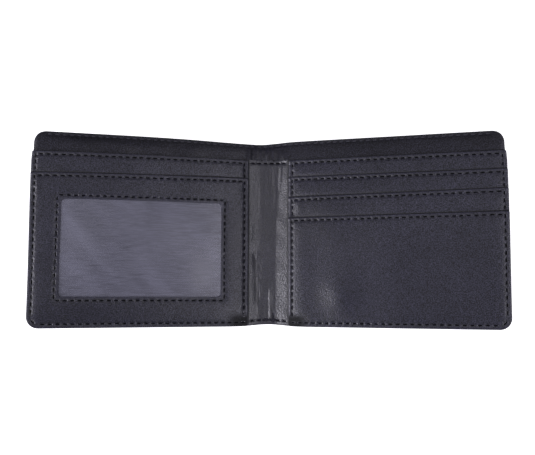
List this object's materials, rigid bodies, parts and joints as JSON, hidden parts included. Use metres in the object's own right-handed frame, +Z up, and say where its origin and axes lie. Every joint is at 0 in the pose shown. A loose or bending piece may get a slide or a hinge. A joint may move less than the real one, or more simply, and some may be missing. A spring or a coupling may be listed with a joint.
{
  "type": "bifold wallet",
  "caption": "Black bifold wallet lying half open, with a note compartment, a clear ID window on the left and card pockets on the right.",
  "frame": {"origin": "middle of the spine's outer face, on the surface the wallet lies on", "axes": "+X across the open wallet from the ID pocket's side to the card pockets' side, +Y towards the mouth of the note compartment, +Z up"},
  "size_m": [0.2214, 0.092, 0.0279],
  "materials": {
    "cover_leather": "fine-grained blue-black artificial leather, satin",
    "pocket_leather": "fine-grained blue-black artificial leather, satin, turned edges",
    "strip_leather": "the same leather, creased where it folds",
    "note_lining": "thin black woven polyester",
    "pocket_fabric": "grey-blue woven polyester, bonded to thin backing",
    "window_film": "clear soft vinyl film, slightly hazy",
    "stiffener_card": "thin grey-brown card, hidden",
    "thread": "black polyester sewing thread"
  },
  "bodies": {
    "spine": {"cover_spine": "cover_leather", "facing_spine": "pocket_leather", "note_lining_spine": "note_lining", "cover_hem_spine": "pocket_leather", "divider_lining_spine": "note_lining", "spine_strip": "strip_leather", "divider_stitches_spine": "thread", "facing_stitches_spine": "thread", "edge_stitches_spine": "thread"},
    "left_panel": {"cover_left": "cover_leather", "stiffener_left": "stiffener_card", "facing_left": "pocket_leather", "note_lining_left": "note_lining", "cover_hem_left": "pocket_leather", "divider_lining_left": "note_lining", "spine_strip_left": "strip_leather", "pocket_back_left": "pocket_fabric", "divider_band_left": "pocket_leather", "window_film": "window_film", "id_pocket_hem": "pocket_leather", "id_pocket": "pocket_leather", "divider_stitches_left": "thread", "facing_stitches_left": "thread", "seam_stitches_left": "thread", "edge_stitches_left": "thread", "id_pocket_stitches": "thread", "window_stitches": "thread"},
    "right_panel": {"cover_right": "cover_leather", "stiffener_right": "stiffener_card", "facing_right": "pocket_leather", "note_lining_right": "note_lining", "cover_hem_right": "pocket_leather", "divider_lining_right": "note_lining", "spine_strip_right": "strip_leather", "pocket_back_right": "pocket_fabric", "divider_band_right": "pocket_leather", "card_pocket_upper": "pocket_leather", "card_lining_upper": "note_lining", "card_pocket_middle": "pocket_leather", "card_lining_middle": "note_lining", "front_pocket_hem": "pocket_leather", "front_pocket": "pocket_leather", "divider_stitches_right": "thread", "facing_stitches_right": "thread", "seam_stitches_right": "thread", "edge_stitches_right": "thread", "upper_pocket_stitches": "thread", "middle_pocket_stitches": "thread", "front_pocket_stitches": "thread"}
  },
  "joints": [
    {"name": "fold_left", "type": "hinge", "parent": "spine", "child": "left_panel", "pos_m": [-0.005, 0, 0.0026], "axis": [0, 1, 0], "range_deg": [-12.5, 78.5]},
    {"name": "fold_right", "type": "hinge", "parent": "spine", "child": "right_panel", "pos_m": [0.005, 0, 0.0026], "axis": [0, -1, 0], "range_deg": [-12.5, 78.5]}
  ]
}
